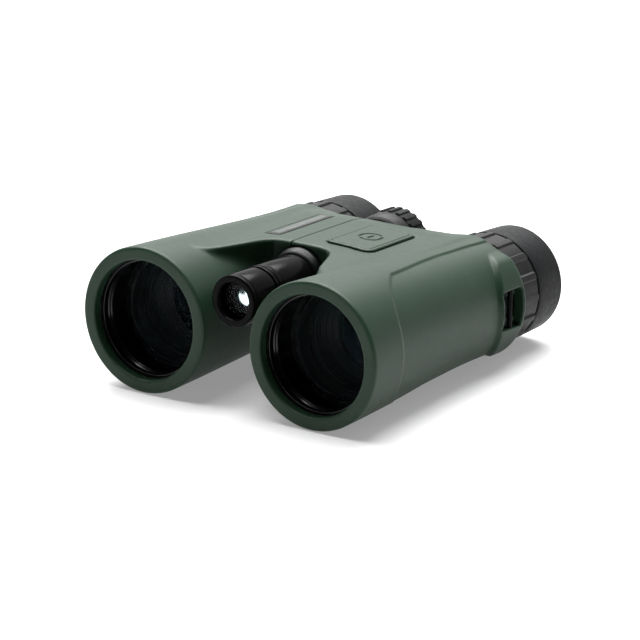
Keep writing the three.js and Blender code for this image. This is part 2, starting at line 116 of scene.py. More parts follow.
def revolve(profile, segments=128, relief=None):
    """Points and faces turned about +Y from [radius, y] points: a closed loop, or both ends on the axis.
    relief(angle, radius, y) is added to the radius, for ribs."""
    profile = np.array(profile, float)
    capped = profile[0][0] == 0 and profile[-1][0] == 0
    turn = np.arange(segments) * 2 * math.pi / segments
    radius = np.repeat(profile[:, :1], segments, axis=1)
    along = np.repeat(profile[:, 1:], segments, axis=1)
    if relief is not None:
        radius = np.where(radius > 0, radius + relief(turn[None, :], radius, along), 0)
    points = np.stack([radius * np.cos(turn), along, radius * np.sin(turn)], -1).reshape(-1, 3)
    count = len(profile)
    faces = []
    for i in range(count if not capped else count - 1):
        j = (i + 1) % count
        for k in range(segments):
            n = (k + 1) % segments
            quad = [i * segments + k, j * segments + k, j * segments + n, i * segments + n]
            faces.append(quad)
    if capped:
        points, faces = close_ends(points, faces, segments, count)
    return points, outwards(points, faces)


def close_ends(points, faces, segments, count):
    """Welds the two rows that lie on the axis into one point each."""
    first, last = 0, (count - 1) * segments

    def weld(v):
        if v < segments:
            return first
        return last if v >= last else v

    welded = []
    for face in faces:
        ring = []
        for v in map(weld, face):
            if v not in ring:
                ring.append(v)
        if len(ring) > 2:
            welded.append(ring)
    used = sorted({v for face in welded for v in face})
    place = {v: i for i, v in enumerate(used)}
    return points[used], [[place[v] for v in face] for face in welded]


def outwards(points, faces):
    """The faces turned so that the closed mesh holds a positive volume."""
    volume = 0.0
    for face in faces:
        a = points[face[0]]
        for b, c in zip(face[1:-1], face[2:]):
            volume += np.dot(a, np.cross(points[b], points[c]))
    return faces if volume > 0 else [face[::-1] for face in faces]


# ---- Shapes given by a distance: negative inside, positive outside -------------------------------


def smooth_max(a, b, width):
    blend = np.maximum(width - np.abs(a - b), 0) / width
    return np.maximum(a, b) + blend * blend * width / 4


def smooth_min(a, b, width):
    return -smooth_max(-a, -b, width)


def smooth_step(low, high, value):
    t = np.clip((value - low) / (high - low), 0, 1)
    return t * t * (3 - 2 * t)


def outline_distance(u, v, outline):
    """Distance to a closed outline in the (u, v) plane."""
    square = np.full(np.broadcast(u, v).shape, np.inf)
    inside = np.zeros(square.shape, bool)
    for (au, av), (bu, bv) in zip(outline, [outline[-1], *outline[:-1]]):
        eu, ev = bu - au, bv - av
        wu, wv = u - au, v - av
        t = np.clip((wu * eu + wv * ev) / (eu * eu + ev * ev), 0, 1)
        square = np.minimum(square, (wu - eu * t) ** 2 + (wv - ev * t) ** 2)
        above, below, left = v >= av, v < bv, eu * wv > ev * wu
        inside ^= (above & below & left) | (~above & ~below & ~left)
    return np.sqrt(square) * np.where(inside, -1, 1)


def box_distance(u, v, middle, half, corner):
    """Distance to a rectangle with rounded corners in the (u, v) plane."""
    du = np.abs(u - middle[0]) - half[0] + corner
    dv = np.abs(v - middle[1]) - half[1] + corner
    return np.hypot(np.maximum(du, 0), np.maximum(dv, 0)) + np.minimum(np.maximum(du, dv), 0) - corner


def skin_of(distance, low, high, step):
    """Points and faces of the surface where distance(x, y, z) is zero: one point in each grid cell that the
    surface crosses, then drawn onto it."""
    axes = [np.arange(a - step, b + 2 * step, step) for a, b in zip(low, high)]
    field = distance(axes[0][:, None, None], axes[1][None, :, None], axes[2][None, None, :])
    field = np.broadcast_to(field, [len(a) for a in axes])
    inside = field < 0
    cells = [n - 1 for n in field.shape]
    corners = [(i, j, k) for i in (0, 1) for j in (0, 1) for k in (0, 1)]

    def at(corner, values):
        return values[tuple(slice(c, c + n) for c, n in zip(corner, cells))]

    filled = sum(at(c, inside).astype(np.int8) for c in corners)
    mixed = (filled > 0) & (filled < 8)
    number = np.full(cells, -1)
    number[mixed] = np.arange(mixed.sum())
    cell = np.argwhere(mixed)
    total, crossings = np.zeros((len(cell), 3)), np.zeros(len(cell))
    for a in corners:
        for axis in range(3):
            if a[axis]:
                continue
            b = tuple(c + (n == axis) for n, c in enumerate(a))
            fa, fb = at(a, field)[mixed], at(b, field)[mixed]
            cross = (fa < 0) != (fb < 0)
            t = np.where(cross, fa / np.where(fa == fb, 1, fa - fb), 0)
            spot = np.array(a) + t[:, None] * np.eye(3)[axis]
            total += spot * cross[:, None]
            crossings += cross
    points = np.array([a[0] for a in axes]) + (cell + total / crossings[:, None]) * step
    faces = grid_faces(inside, number)
    nudge = step * 0.05
    for _ in range(4):
        value = distance(*points.T)
        slope = np.stack(
            [(distance(*(points + nudge * e).T) - distance(*(points - nudge * e).T)) for e in np.eye(3)], -1
        ) / (2 * nudge)
        move = value[:, None] * slope / np.maximum((slope**2).sum(-1), 0.25)[:, None]
        points = points - np.clip(move, -step / 3, step / 3)
    return points, faces


def grid_faces(inside, number):
    """One four-sided face across each grid edge that the surface crosses."""
    faces = []
    for axis in range(3):
        u, v = (axis + 1) % 3, (axis + 2) % 3
        span = [slice(1, n - 1) for n in inside.shape]
        span[axis] = slice(0, inside.shape[axis] - 1)
        ahead = list(span)
        ahead[axis] = slice(1, inside.shape[axis])
        here, there = inside[tuple(span)], inside[tuple(ahead)]
        for crossing, flip in ((here & ~there, False), (there & ~here, True)):
            spot = np.argwhere(crossing) + [s.start for s in span]
            ring = []
            for du, dv in ((0, 0), (-1, 0), (-1, -1), (0, -1)):
                shifted = spot.copy()
                shifted[:, u] += du
                shifted[:, v] += dv
                ring.append(number[tuple(shifted.T)])
            quads = np.stack(ring, -1)
            faces.append(quads[:, ::-1] if flip else quads)
    return np.concatenate(faces)


# ---- Materials -----------------------------------------------------------------------------------


class Finish:
    """A Principled material whose colour, roughness and bump come from noise in the object's space."""

    def __init__(self, name, metallic=0.0, **uniform):
        self.material = bpy.data.materials.new(name)
        self.material.use_nodes = True
        self.tree = self.material.node_tree
        self.shader = self.tree.nodes["Principled BSDF"]
        self.shader.inputs["Metallic"].default_value = metallic
        for socket, value in uniform.items():
            self.shader.inputs[socket.replace("_", " ")].default_value = value
        self.place = self.tree.nodes.new("ShaderNodeTexCoord").outputs["Object"]

    def node(self, kind, **settings):
        made = self.tree.nodes.new(kind)
        for key, value in settings.items():
            setattr(made, key, value)
        return made

    def link(self, source, target):
        self.tree.links.new(source, target)

    def noise(self, size_mm, detail=3.0, stretch=None):
        """Noise whose features measure about size_mm."""
        texture = self.node("ShaderNodeTexNoise")
        texture.inputs["Scale"].default_value = 1 / (size_mm * MM)
        texture.inputs["Detail"].default_value = detail
        source = self.place
        if stretch:
            mapping = self.node("ShaderNodeMapping")
            mapping.inputs["Scale"].default_value = stretch
            self.link(self.place, mapping.inputs["Vector"])
            source = mapping.outputs["Vector"]
        self.link(source, texture.inputs["Vector"])
        return texture.outputs["Fac"]

    def ramp(self, fac, low, high, start=0.3, end=0.7):
        ramp = self.node("ShaderNodeValToRGB")
        ramp.color_ramp.elements[0].position = start
        ramp.color_ramp.elements[1].position = end
        ramp.color_ramp.elements[0].color = (*low, 1)
        ramp.color_ramp.elements[1].color = (*high, 1)
        self.link(fac, ramp.inputs["Fac"])
        return ramp.outputs["Color"]

    def colour(self, fac, low, high):
        self.link(self.ramp(fac, low, high), self.shader.inputs["Base Color"])
        return self

    def worn_colour(self, fac, low, high, edge, amount=0.5):
        """The same, lighter where the surface is most convex."""
        curve = self.node("ShaderNodeNewGeometry").outputs["Pointiness"]
        mask = self.ramp(curve, (0, 0, 0), (amount,) * 3, 0.515, 0.56)
        mix = self.node("ShaderNodeMix", data_type="RGBA")
        self.link(mask, mix.inputs["Factor"])
        self.link(self.ramp(fac, low, high), mix.inputs["A"])
        mix.inputs["B"].default_value = (*edge, 1)
        self.link(mix.outputs["Result"], self.shader.inputs["Base Color"])
        return self

    def roughness(self, fac, low, high):
        spread = self.node("ShaderNodeMapRange")
        spread.inputs["From Min"].default_value = 0.3
        spread.inputs["From Max"].default_value = 0.7
        spread.inputs["To Min"].default_value = low
        spread.inputs["To Max"].default_value = high
        self.link(fac, spread.inputs["Value"])
        self.link(spread.outputs["Result"], self.shader.inputs["Roughness"])
        return self

    def bump(self, *layers):
        """Layers of (noise, height in millimetres)."""
        normal = None
        for fac, height in layers:
            bump = self.node("ShaderNodeBump")
            bump.inputs["Distance"].default_value = height * MM
            bump.inputs["Strength"].default_value = 1
            self.link(fac, bump.inputs["Height"])
            if normal:
                self.link(normal, bump.inputs["Normal"])
            normal = bump.outputs["Normal"]
        self.link(normal, self.shader.inputs["Normal"])
        return self


def armour_rubber():
    rubber = Finish("armour_rubber", Specular_IOR_Level=0.21)
    blotch = rubber.noise(14, 4)
    rubber.worn_colour(blotch, (0.0075, 0.024, 0.012), (0.0095, 0.028, 0.0145), (0.035, 0.065, 0.042), 0.15)
    rubber.roughness(rubber.noise(3, 4), 0.42, 0.47)
    return rubber.bump((rubber.noise(0.5, 2), 0.008), (rubber.noise(6, 2), 0.005)).material


def cup_rubber():
    rubber = Finish("cup_rubber", Specular_IOR_Level=0.1)
    blotch = rubber.noise(9, 4)
    rubber.worn_colour(blotch, (0.0045, 0.005, 0.0056), (0.0055, 0.0062, 0.0068), (0.03, 0.03, 0.032), 0.15)
    rubber.roughness(rubber.noise(2, 3), 0.45, 0.6)
    return rubber.bump((rubber.noise(0.35, 2), 0.02)).material


def anodised(name, gloss):
    """Black anodised metal. gloss is the shader's specular level."""
    metal = Finish(name, Specular_IOR_Level=gloss)
    tool_marks = metal.noise(0.5, 2, (1, 8, 1))
    blotch = metal.noise(5, 3)
    metal.worn_colour(blotch, (0.0015, 0.0015, 0.0018), (0.003, 0.003, 0.0032), (0.03, 0.03, 0.032), 0.15)
    metal.roughness(tool_marks, 0.14, 0.2)
    return metal.bump((tool_marks, 0.0004)).material


def black_plastic():
    plastic = Finish("black_plastic", Specular_IOR_Level=0.2)
    plastic.colour(plastic.noise(6, 3), (0.0012, 0.0014, 0.0016), (0.0025, 0.003, 0.0032))
    plastic.roughness(plastic.noise(1.5, 3), 0.35, 0.5)
    return plastic.bump((plastic.noise(0.4, 2), 0.01)).material


def grey_plastic():
    plastic = Finish("grey_plastic", Specular_IOR_Level=0.14)
    blotch = plastic.noise(8, 3)
    plastic.worn_colour(blotch, (0.005, 0.005, 0.0052), (0.008, 0.008, 0.0083), (0.04, 0.04, 0.04), 0.2)
    plastic.roughness(plastic.noise(2, 3), 0.4, 0.52)
    return plastic.bump((plastic.noise(0.4, 2), 0.015)).material


def painted_casting():
    paint = Finish("painted_casting", Specular_IOR_Level=0.15)
    blotch = paint.noise(7, 4)
    paint.worn_colour(blotch, (0.0015, 0.002, 0.0018), (0.003, 0.0036, 0.0033), (0.02, 0.02, 0.02), 0.1)
    paint.roughness(paint.noise(1.5, 3), 0.4, 0.55)
    return paint.bump((paint.noise(0.6, 3), 0.01)).material


def bare_metal(name, low, high, rough):
    metal = Finish(name, metallic=1.0)
    grain = metal.noise(0.4, 3, (1, 12, 1))
    metal.colour(metal.noise(4, 4), low, high)
    metal.roughness(grain, rough, rough + 0.15)
    return metal.bump((grain, 0.004)).material


def printed(name, low, high):
    laminate = Finish(name, Specular_IOR_Level=0.5)
    laminate.colour(laminate.noise(1.2, 1), low, high)
    laminate.roughness(laminate.noise(2, 2), 0.3, 0.45)
    return laminate.bump((laminate.noise(0.8, 1), 0.02)).material


def coated_glass(name, tint, straight, grazing):
    """Clear glass with an anti-reflection coating: what lies behind shows, under a tinted gloss whose share
    grows from straight on to grazing."""
    glass = bpy.data.materials.new(name)
    glass.use_nodes = True
    nodes, links = glass.node_tree.nodes, glass.node_tree.links
    nodes.remove(nodes["Principled BSDF"])
    clear = nodes.new("ShaderNodeBsdfTransparent")
    gloss = nodes.new("ShaderNodeBsdfGlossy")
    gloss.inputs["Color"].default_value = (*tint, 1)
    smear = nodes.new("ShaderNodeTexNoise")
    smear.inputs["Scale"].default_value = 1 / (7 * MM)
    haze = nodes.new("ShaderNodeMapRange")
    haze.inputs["To Min"].default_value = 0.01
    haze.inputs["To Max"].default_value = 0.05
    facing = nodes.new("ShaderNodeLayerWeight")
    steep = nodes.new("ShaderNodeMath")
    steep.operation = "POWER"
    steep.inputs[1].default_value = 4
    share = nodes.new("ShaderNodeMapRange")
    share.inputs["To Min"].default_value = straight
    share.inputs["To Max"].default_value = grazing
    mix = nodes.new("ShaderNodeMixShader")
    place = nodes.new("ShaderNodeTexCoord")
    links.new(place.outputs["Object"], smear.inputs["Vector"])
    links.new(smear.outputs["Fac"], haze.inputs["Value"])
    links.new(haze.outputs["Result"], gloss.inputs["Roughness"])
    links.new(facing.outputs["Facing"], steep.inputs[0])
    links.new(steep.outputs[0], share.inputs["Value"])
    links.new(share.outputs["Result"], mix.inputs["Fac"])
    links.new(clear.outputs[0], mix.inputs[1])
    links.new(gloss.outputs[0], mix.inputs[2])
    links.new(mix.outputs[0], nodes["Material Output"].inputs["Surface"])
    return glass


LOOK = {
    "armor_rubber": armour_rubber(),
    "cup_rubber": cup_rubber(),
    "black_anodised": anodised("black_anodised", 0.04),
    "black_plastic": black_plastic(),
    "grey_plastic": grey_plastic(),
    "painted_casting": painted_casting(),
    "steel": bare_metal("steel", (0.45, 0.46, 0.47), (0.6, 0.61, 0.62), 0.25),
    "brass": bare_metal("brass", (0.55, 0.4, 0.18), (0.7, 0.53, 0.26), 0.25),
    "silver_plate": bare_metal("silver_plate", (0.065, 0.072, 0.067), (0.09, 0.098, 0.092), 0.5),
    "coated_glass": coated_glass("coated_glass", (0.45, 0.8, 1.0), 0.0004, 0.15),
    "board_laminate": printed("board_laminate", (0.01, 0.08, 0.03), (0.03, 0.16, 0.06)),
    "battery_wrap": printed("battery_wrap", (0.02, 0.06, 0.2), (0.03, 0.09, 0.28)),
}
RING_FINISH = anodised("retaining_ring_finish", 0.3)
# The laser's lens has a mirrored coating.
LASER_LENS = bare_metal("laser_lens", (0.6, 0.78, 0.8), (0.7, 0.86, 0.88), 0.08)
WINDOW_GLASS = coated_glass("window_glass", (0.85, 0.98, 1.0), 0.003, 0.3)

# CAD nodes that stay as they are take the finish of their material slot.
SLOT_OF = {row["node"]: row["material_slot"] for row in frame["record"]["subparts"]}
for node, obj in frame["nodes"].items():
    obj.data.materials.clear()
    obj.data.materials.append(LOOK[SLOT_OF[node]])

# ---- Rubber armour -------------------------------------------------------------------------------
SEAM = {"right": 4.7, "left": -4.4}  # where each half of the bridge ends, outwards from the hinge plane
SKIN = 1.7
GAP = 0.3
HINGE_CLEARANCE = 11.6
RIM_ROUND, BRIDGE_BLEND, BORE_ROUND, SLOT_ROUND = 1.4, 2.2, 0.7, 0.8
PANEL_DEPTH = 0.65
LUG_RADIUS = 24.0
MM_PER_DEGREE = 0.42  # length of one degree round the armour
BARREL_RADII = [
    (0, 27.5), (12, 27.0), (24, 26.3), (36, 25.7), (48, 25.0), (63, 24.2), (78, 23.5), (92, 23.05),
    (104.4, 22.95),
]  # (y, outside radius)
BARREL_CURVE = np.polyfit(*zip(*BARREL_RADII), 3)
BORE_RADII = [
    (22.46, -9), (22.46, 4), (23.6, 4.2), (23.6, 34), (22.8, 42), (22.3, 60), (21.0, 89.3), (19.1, 89.4),
    (19.1, 120),
]  # (inside radius, y)
NOTCH = [
    (4, 45.9), (8, 45.9), (11.6, 45.2), (14.3, 43.2), (16.0, 40.4), (17.4, 37), (19.6, 31.5), (21.6, 26.5),
    (24, 22.8), (28, 20),
]  # the front edge of the bridge beside the emitter, as (x, y)
BRIDGE_REAR = [(37.5, 103), (28, 103), (22, 99), (16, 95), (10, 94), (-6, 94)]
BRIDGE_PLAN = [(-6, 46), *NOTCH, (37.5, 20), *BRIDGE_REAR]
CROWN_HEIGHT, CROWN_CURVE = 25.9, 0.00173
FALL_START, FALL_HEIGHT, FALL_SLOPE = 94, 25.2, 0.3
BUTTON_MIDDLE, BUTTON_HALF, BUTTON_CORNER = (15.5, 68.5), (10, 15.5), 3.2
PLATE_MIDDLE, PLATE_HALF = (17.15, 69.5), (3.15, 17.5)
SLOT_LOW, SLOT_HIGH, SLOT_HALF_HEIGHT, SLOT_FLOOR = 90, 102.5, 7.3, 19.1
BAR_OUT, BAR_Y, BAR_RADIUS, BAR_HALF = 21.2, 97, 1.0, 8.3


def barrel_radius(y):
    """Radius of a barrel's armour: full at the rim, then narrowing to the eyepiece."""
    return np.polyval(BARREL_CURVE, y)


def bridge_top(x, y):
    """Height of the bridge: crowned across, falling away behind."""
    crown = CROWN_HEIGHT - CROWN_CURVE * x**2
    fall = FALL_HEIGHT - FALL_SLOPE * (y - FALL_START)
    return smooth_min(crown + 0 * y, fall + 0 * x, 3)


def bridge_distance(x, y, z, seam, inset):
    """Half of the bridge: outside faces drawn in by inset."""
    sides = outline_distance(x, y, BRIDGE_PLAN) + inset
    top = (z - bridge_top(x, y)) * 0.99 + inset
    wall = smooth_max(sides, top, 1.6)
    under = np.maximum((x - 13) * -0.766 + (z + 3) * -0.644, -3 - z) + inset
    body = smooth_max(wall, under, 1.2)
    return smooth_max(body, seam + inset - x, 0.5)


def panel_mask(angle, y):
    """1 inside the recessed side panel and 0 outside it. Angles in degrees from straight outwards."""
    turn = angle - 3
    crease = 66.5 + 7.2 * smooth_step(30, 75, y) - 1.8 * smooth_step(88, 104, y)
    front = 19.9 + 14.4 * (np.abs(turn) / 63.6) ** 3
    inwards = np.minimum((crease - np.abs(turn)) * MM_PER_DEGREE, (y - front) * 0.9)
    return smooth_step(-0.55, 0.55, inwards)


def lug_mask(angle, y):
    """The raised strap lug: a band round the outer side at the armour's rear."""
    edge = 88.2 + 7.0 * (np.abs(angle) / 53) ** 2
    return smooth_step(-1.3, 1.3, y - edge) * smooth_step(-4, 4, (58 - np.abs(angle + 6)) * MM_PER_DEGREE)


def armour_distance(name):
    """Distance to one half's armour, drawn as the left half: x is measured outwards."""
    seam = SEAM[name]
    slot_middle = ((SLOT_LOW + SLOT_HIGH) / 2, 0)
    slot_half = ((SLOT_HIGH - SLOT_LOW) / 2, SLOT_HALF_HEIGHT)

    def distance(x, y, z):
        out = x - SPACING / 2
        radius = np.hypot(out, z)
        angle = np.degrees(np.arctan2(z, out))
        surface = barrel_radius(y) - PANEL_DEPTH * panel_mask(angle, y)
        surface = surface + (LUG_RADIUS - surface) * lug_mask(angle, y)
        barrel = smooth_max(radius - surface, np.maximum(-y, y - ARMOUR_END) + 0 * z, RIM_ROUND)
        shape = smooth_min(barrel, bridge_distance(x, y, z, seam, 0), BRIDGE_BLEND)
        bore = outline_distance(radius, y, [(-9, -9), *BORE_RADII, (-9, 120)])
        shape = smooth_max(shape, -bore, BORE_ROUND)
        shape = np.maximum(shape, -bridge_distance(x, y, z, seam, SKIN))
        shape = smooth_max(shape, HINGE_CLEARANCE - np.hypot(x, z - HINGE_RISE) + 0 * y, 0.5)
        slot = np.maximum(box_distance(y, z, slot_middle, slot_half, 1.0), SLOT_FLOOR - out)
        shape = smooth_max(shape, -slot, SLOT_ROUND)
        if name == "left":
            half = [h + GAP for h in BUTTON_HALF]
            window = box_distance(x, y, BUTTON_MIDDLE, half, BUTTON_CORNER + GAP)
            return smooth_max(shape, -np.maximum(window, 15 - z), 0.5)
        pocket = box_distance(x, y, PLATE_MIDDLE, [h + GAP for h in PLATE_HALF], 0.6)
        return smooth_max(shape, -np.maximum(pocket, bridge_top(x, y) - 0.7 - z), 0.4)

    return distance


def mirrored(points, faces, side):
    """The points on the half's own side, with the faces still turned outwards."""
    if side > 0:
        return points, faces
    return points * [-1, 1, 1], faces[:, ::-1]


ARMOUR_STEP = 0.62
for name, side in SIDES.items():
    skin = skin_of(armour_distance(name), (-5, -1, -28), (65.5, ARMOUR_END + 1, 28), ARMOUR_STEP)
    add_piece(
        f"{name}_armour_skin", *mirrored(*skin, side), f"{name}_half", LOOK["armor_rubber"], "armor_rubber",
        [f"{name}_armor"], sharp=75,
    )

# ---- Ranging button and nameplate ----------------------------------------------------------------


def button_distance(x, y, z):
    """A raised pad with a groove inside its edge and a broken ring round a stroke sunk into it."""
    flat = box_distance(x, y, BUTTON_MIDDLE, BUTTON_HALF, BUTTON_CORNER)
    reach = np.hypot(x - BUTTON_MIDDLE[0], y - BUTTON_MIDDLE[1])
    height = bridge_top(x, y) + 0.7
    height = height - 0.32 * smooth_step(0.3, 0.0, np.abs(flat + 1.5)) + 0 * z
    ring = np.maximum(np.abs(reach - 4.1) - 0.5, 0.9 - np.abs(x - y - BUTTON_MIDDLE[0] + BUTTON_MIDDLE[1]))
    mark = np.minimum(ring, np.maximum(np.abs(x - BUTTON_MIDDLE[0]) - 0.5, reach - 2))
    height = height - 0.5 * smooth_step(0.15, -0.15, mark)
    return smooth_max(smooth_max(flat, z - height, 0.7), bridge_top(x, y) - 0.6 - z, 0.5)


pad = skin_of(button_distance, (5, 52, 23), (26, 85, 27.5), 0.27)
add_piece(
    "range_button_pad", *pad, "range_button", LOOK["armor_rubber"], "armor_rubber", ["range_button"],
    sharp=60,
)


def plate_distance(x, y, z):
    flat = box_distance(x, y, PLATE_MIDDLE, PLATE_HALF, 0.5)
    return smooth_max(smooth_max(flat, z - bridge_top(x, y) - 0.05, 0.3), bridge_top(x, y) - 0.4 - z, 0.2)


def inlay_distance(x, y, z):
    flat = box_distance(x, y, PLATE_MIDDLE, (1.9, 16), 0.4)
    return smooth_max(smooth_max(flat, z - bridge_top(x, y) - 0.2, 0.2), bridge_top(x, y) + 0.06 - z, 0.1)


base = mirrored(*skin_of(plate_distance, (13, 51, 24), (21.5, 88, 26.5), 0.3), SIDES["right"])
add_piece(
    "nameplate_base", *base, "right_half", LOOK["grey_plastic"], "silver_plate", ["nameplate"], sharp=60
)
inlay = mirrored(*skin_of(inlay_distance, (15, 53, 24.5), (19.5, 86, 26.5), 0.15), SIDES["right"])
add_piece("nameplate_inlay", *inlay, "right_half", LOOK["silver_plate"], "silver_plate", sharp=60)

# ---- Turned pieces -------------------------------------------------------------------------------


SMOOTH_BORE = 12  # surfaces this near the axis get no ribs


def ribs(count, height, share, low, high, ease=0.5):
    """Relief of count ribs between low and high along the axis, each taking share of its pitch."""

    def relief(angle, radius, y):
        phase = np.abs(((angle * count / (2 * math.pi)) + 0.5) % 1 - 0.5) * 2
        across = smooth_step(share + 0.12, share - 0.04, phase)
        along = smooth_step(low, low + ease, y) * smooth_step(high, high - ease, y)
        return height * across * along * (radius > SMOOTH_BORE)

    return relief


def lens_profile(radius, front, back, front_bulge, back_bulge, steps=12):
    face = [(radius * t, front + front_bulge * t * t) for t in np.linspace(0, 1, steps)]
    rear = [(radius * t, back - back_bulge * t * t) for t in np.linspace(1, 0, steps)]
    return face + rear


def threaded(inner, outer, front, back, pitch, depth):
    """A ring whose bore is cut with a fine thread, drawn as grooves."""
    turns = int((back - front - 0.8) / pitch)
    thread = []
    for i in range(turns):
        y = back - 0.4 - i * pitch
        thread += [(inner, y), (inner + depth, y - pitch / 2)]
    return [(inner + 0.3, front), (outer, front), (outer, back), (inner + 0.3, back), *thread]


def baffle_profile():
    """A blackened cone with knife-edged rings inside."""
    rings = []
    for i in range(7):
        y = 38 - i * 2.6
        rings += [(14.8 + i * 0.78, y), (14.9 + i * 0.78, y - 0.35), (17.0 + i * 0.45, y - 1.7)]
    return [(20.4, 19.5), (20.4, 38), *rings, (19.9, 19.5)]


EYECUP = [
    (18.7, 117.9), (21.1, 117.9), (21.05, 122), (20.6, 134.1), (19.7, 135.2), (18.7, 135.2), (17.6, 132.3),
    (17.0, 129.4), (17.0, 128), (18.7, 128),
]
DIOPTRE = [
    (18.7, 104.8), (20.6, 104.8), (20.9, 105.2), (20.9, 106), (20.9, 107), (20.9, 115.6), (20.9, 116.6),
    (20.9, 117.0), (20.6, 117.4), (18.7, 117.4),
]
DIOPTRE_RIBS = 16
EYE_TUBE = [(14.9, 88.3), (16.9, 88.3), (16.9, 123), (12.5, 123), (12.5, 121.5), (14.9, 121.5)]
LENS_CELL = [(12.9, 97), (14.6, 97), (14.6, 119), (12.9, 119)]
GUIDE_SLEEVE = [(17.2, 106), (18.4, 106), (18.4, 127.6), (17.2, 127.6)]


def dense(profile, longest=0.6):
    """The closed profile with its long straight stretches split, so that relief can follow them."""
    made = []
    for a, b in zip(profile, [*profile[1:], profile[0]]):
        a, b = np.array(a, float), np.array(b, float)
        count = max(1, int(np.ceil(np.linalg.norm(b - a) / longest)))
        made += [a + (b - a) * i / count for i in range(count)]
    return made


def turned_piece(name, profile, body, slot, nodes, at, finish=None, corner=0.25, segments=128, relief=None):
    """A piece turned about the line through at, with its corners rounded and relief added for ribs.
    finish is a look other than its slot's own."""
    closed = not (profile[0][0] == 0 and profile[-1][0] == 0)
    shape = rounded(profile, corner, closed) if corner else profile
    shape = dense(shape) if relief else shape
    points, faces = revolve(shape, segments, relief)
    add_piece(name, points, faces, body, finish or LOOK[slot], slot, nodes, at)


def optics(name, at):
    """The lenses of one barrel, with the rings and tubes that hold them."""
    half, ocular = f"{name}_half", f"{name}_ocular"

    def turned(piece, profile, body, slot, node, finish=None, corner=0.25):
        turned_piece(f"{name}_{piece}", profile, body, slot, [f"{name}_{node}"], at, finish, corner)

    def lens(piece, profile, body, node):
        turned(piece, profile, body, "coated_glass", node, corner=0)

    ring = threaded(21, 22, 4.4, 9.5, 1.5, 0.6)
    turned("objective_ring", ring, half, "black_anodised", "retaining_ring", RING_FINISH)
    turned("ribbed_baffle", baffle_profile(), half, "black_plastic", "light_baffle", corner=0.05)
    lens("front_lens", lens_profile(22, 8, 13.2, 2.2, 1.6), half, "objective_crown")
    lens("rear_lens", lens_profile(22, 13.5, 16.3, -1.6, -1.4), half, "objective_flint")
    lens("focus_lens", lens_profile(14.7, 43, 45, -1.2, -1.2), f"{name}_focusing_group", "focusing_lens")
    lens("inner_lens", lens_profile(12.6, 98, 103, 0.8, 1.6), ocular, "field_lens")
    lens("outer_lens", lens_profile(12.6, 112.5, 118.5, 2, 1.4), ocular, "eye_lens")
    turned("eye_tube", EYE_TUBE, half, "black_anodised", "eyepiece_tube")
    turned("lens_cell", LENS_CELL, ocular, "black_anodised", "ocular_cell")
    turned("guide_sleeve", GUIDE_SLEEVE, f"{name}_cup_slide", "black_plastic", "eyecup_guide")
    turned("soft_eyecup", EYECUP, f"{name}_cup_turn", "cup_rubber", "eyecup", corner=0.8)


def dioptre_grip(name, at):
    turned_piece(
        f"{name}_dioptre_grip", DIOPTRE, f"{name}_diopter", "grey_plastic", [f"{name}_diopter_ring"], at,
        corner=0.3, segments=24 * DIOPTRE_RIBS, relief=ribs(DIOPTRE_RIBS, 0.75, 0.3, 105.6, 116.9),
    )


def lug_bar(name, side):
    """The upright pin in the slot of the strap lug. Its ends lie inside the rubber."""
    profile = [(0, -BAR_HALF), (BAR_RADIUS, -BAR_HALF), (BAR_RADIUS, BAR_HALF), (0, BAR_HALF)]
    points, faces = revolve(rounded(profile, 0.2, False), 40)
    upright = points[:, [0, 2, 1]] * [1, -1, 1]
    at = (side * (SPACING / 2 + BAR_OUT), BAR_Y, 0)
    look = LOOK["black_anodised"]
    add_piece(
        f"{name}_lug_bar", upright, faces, f"{name}_half", look, "black_anodised", [f"{name}_strap_bar"], at
    )


for name, side in SIDES.items():
    barrel_axis = (side * SPACING / 2, 0, 0)
    optics(name, barrel_axis)
    dioptre_grip(name, barrel_axis)
    lug_bar(name, side)

# ---- Turned pieces on the hinge axis -------------------------------------------------------------
HINGE_AXIS = (0, 0, HINGE_RISE)
TREAD_RIBS = 24
EMITTER_FACE = [(6.8, 4.6), (7.2, 4.0), (9.0, 4.0), (9.6, 4.6), (9.6, 6.2), (6.8, 6.2)]
EMITTER_FRONT = [(8.2, 6.5), (9.6, 6.5), (9.6, 17.9), (9.35, 18.1), (9.35, 18.8), (8.2, 18.8)]
EMITTER_RING = [
    (8.2, 19.1), (9.75, 19.1), (9.75, 20.2), (9.45, 20.4), (9.45, 20.9), (9.75, 21.1), (9.75, 23), (8.2, 23),
]
EMITTER_REAR = [(8.2, 23.3), (9.6, 23.3), (9.6, 41.5), (8.2, 41.5)]
BRIDGE_COLLAR = [(8.4, 41.8), (9.9, 41.8), (10.5, 42.4), (11.4, 44.2), (11.4, 45.7), (8.4, 45.7)]
LASER_CELL = [(0, 11.2), (3.4, 11.2), (3.6, 10), (5.5, 10), (5.5, 25), (7.6, 25), (7.6, 37), (0, 37)]
HINGE_END = [(2.7, 90.0), (9.3, 90.0), (9.3, 92.6), (11.3, 92.6), (11.3, 96.2), (2.7, 96.2)]
FOCUS_HUB = [
    (0, 76.3), (2.4, 76.3), (2.4, 96.5), (11.4, 96.5), (12.3, 97.6), (13.0, 100), (13.1, 102.9),
    (11.7, 102.9), (11.7, 110.2), (10.4, 110.2), (9.8, 109.6), (0, 109.6),
]
FOCUS_TREAD = [(12, 103.2), (13.0, 103.2), (13.05, 104), (13.05, 110.4), (13.0, 111.3), (12, 111.3)]


def centre_piece(name, profile, slot, nodes, finish=None, corner=0.25, body="right_half"):
    turned_piece(name, profile, body, slot, nodes, HINGE_AXIS, finish, corner)


